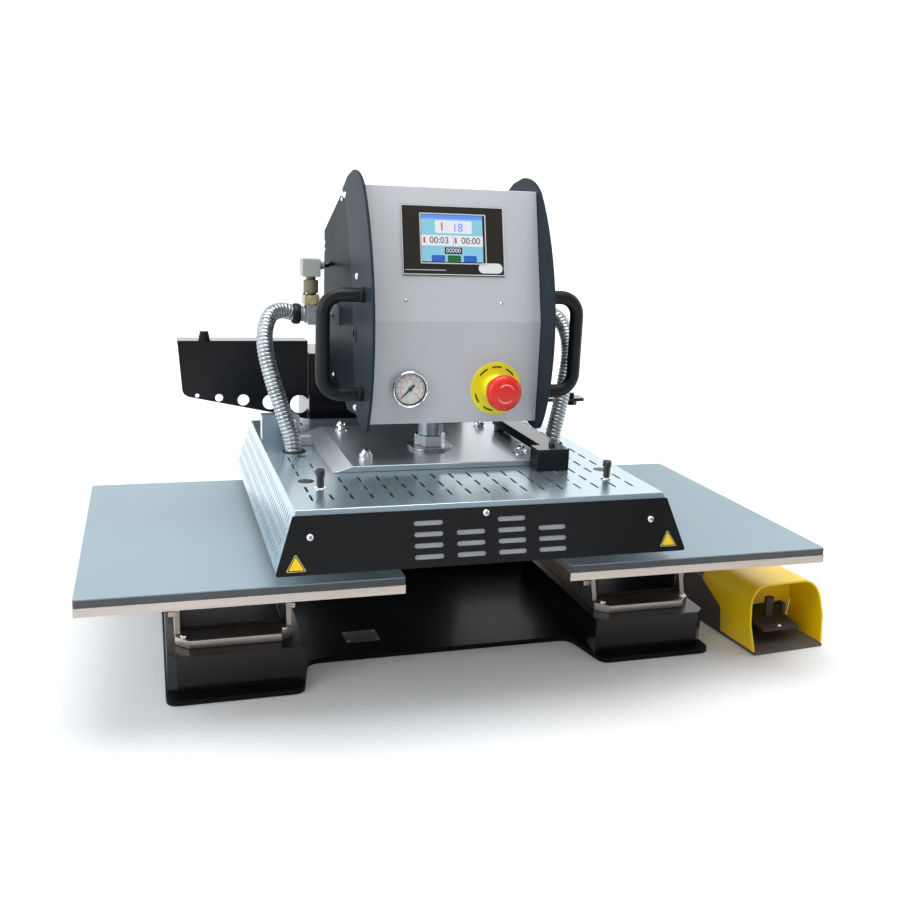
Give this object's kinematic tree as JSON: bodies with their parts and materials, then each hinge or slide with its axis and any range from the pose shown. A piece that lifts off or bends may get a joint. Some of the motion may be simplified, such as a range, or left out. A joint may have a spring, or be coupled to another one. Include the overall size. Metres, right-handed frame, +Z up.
{
  "type": "heat press",
  "caption": "Pneumatic heat press with two lower plates, a sideways sliding head, heated upper platen, control panel, handles and a hooded foot switch.",
  "frame": {"origin": "on the table, at the centre of the base plate's length, midway between the centres of the two lower plates", "axes": "+Z up, +X to the operator's right along the head's slide, +Y away from the operator"},
  "size_m": [1.1258, 0.7382, 0.7111],
  "materials": {
    "black_steel": "satin black powder coat",
    "slate_steel": "slate grey powder coat",
    "panel_silver": "silver paint, satin",
    "machined_aluminium": "machined, satin",
    "cover_sheet": "silver blue coated sheet, satin",
    "pad_rubber": "grey blue silicone, matt",
    "galvanised_steel": "galvanised",
    "ground_steel": "ground and plated",
    "black_plastic": "black, fine grain",
    "red_plastic": "red, glossy",
    "yellow_plastic": "yellow, glossy",
    "grey_plastic": "light grey",
    "dark_casting": "dark grey textured"
  },
  "bodies": {
    "base": {"base_plate": "black_steel", "left_leg": "black_steel", "left_tray": "machined_aluminium", "left_inner_bracket": "machined_aluminium", "left_outer_bracket": "machined_aluminium", "left_post": "black_steel", "left_lower_plate": "machined_aluminium", "left_pad": "pad_rubber", "right_leg": "black_steel", "right_tray": "machined_aluminium", "right_inner_bracket": "machined_aluminium", "right_outer_bracket": "machined_aluminium", "right_post": "black_steel", "right_lower_plate": "machined_aluminium", "right_pad": "pad_rubber", "slide_bed": "black_steel", "front_rail": "ground_steel", "back_rail": "ground_steel", "foot_switch_base": "dark_casting", "foot_switch_hood": "yellow_plastic"},
    "carriage": {"front_left_bearing": "ground_steel", "front_right_bearing": "ground_steel", "back_left_bearing": "ground_steel", "back_right_bearing": "ground_steel", "carriage_plate": "black_steel", "column": "black_steel", "side_arm": "black_steel", "stop_bracket": "black_steel", "head_frame": "black_steel", "press_cylinder": "machined_aluminium", "left_cheek": "slate_steel", "right_cheek": "slate_steel", "front_panel": "panel_silver", "rear_housing": "slate_steel", "control_unit": "black_plastic", "left_handle": "black_plastic", "right_handle": "black_plastic", "gauge_body": "ground_steel", "estop_plate": "yellow_plastic", "estop_body": "black_plastic", "left_hose_rail": "galvanised_steel", "right_hose_rail": "galvanised_steel", "air_valve": "grey_plastic", "valve_plug": "grey_plastic", "valve_lead": "black_plastic", "left_conduit": "galvanised_steel", "right_conduit": "galvanised_steel"},
    "heater": {"heat_cover": "cover_sheet", "cover_front": "black_steel", "heater_platen": "machined_aluminium", "bridge_plate": "galvanised_steel", "lifting_rod": "ground_steel", "guide_bar": "black_steel"},
    "estop_stem": {"estop_stem": "black_plastic"},
    "estop_cap": {"estop_cap": "red_plastic"},
    "gauge_needle": {"gauge_needle": "black_plastic"},
    "mains_switch": {"mains_switch": "black_plastic"},
    "treadle": {"treadle": "black_plastic"}
  },
  "joints": [
    {"name": "head_slide", "type": "slide", "parent": "base", "child": "carriage", "axis": [1, 0, 0], "range_m": [-0.303, 0.325]},
    {"name": "heater_press", "type": "slide", "parent": "carriage", "child": "heater", "axis": [0, 0, -1], "range_m": [0, 0.02], "stiffness_N_per_m": 9000, "springref_m": -0.06},
    {"name": "estop_push", "type": "slide", "parent": "carriage", "child": "estop_stem", "axis": [0, 1, 0], "range_m": [0, 0.005], "stiffness_N_per_m": 1200, "springref_m": -0.002},
    {"name": "estop_twist", "type": "hinge", "parent": "estop_stem", "child": "estop_cap", "pos_m": [0.05, -0.13, 0.418], "axis": [0, 1, 0], "range_deg": [0, 45], "stiffness_Nm_per_rad": 0.06},
    {"name": "gauge_turn", "type": "hinge", "parent": "carriage", "child": "gauge_needle", "pos_m": [-0.077, -0.1024, 0.42], "axis": [0, 1, 0], "range_deg": [0, 270], "stiffness_Nm_per_rad": 0.002},
    {"name": "mains_rocker", "type": "hinge", "parent": "carriage", "child": "mains_switch", "pos_m": [0.086, 0.245, 0.571], "axis": [1, 0, 0], "range_deg": [-8, 8]},
    {"name": "treadle_press", "type": "hinge", "parent": "base", "child": "treadle", "pos_m": [0.53471, -0.08024, 0.038], "axis": [0.9972, 0.0749, 0], "range_deg": [0, 12], "stiffness_Nm_per_rad": 2.5, "springref_deg": -4.58}
  ]
}
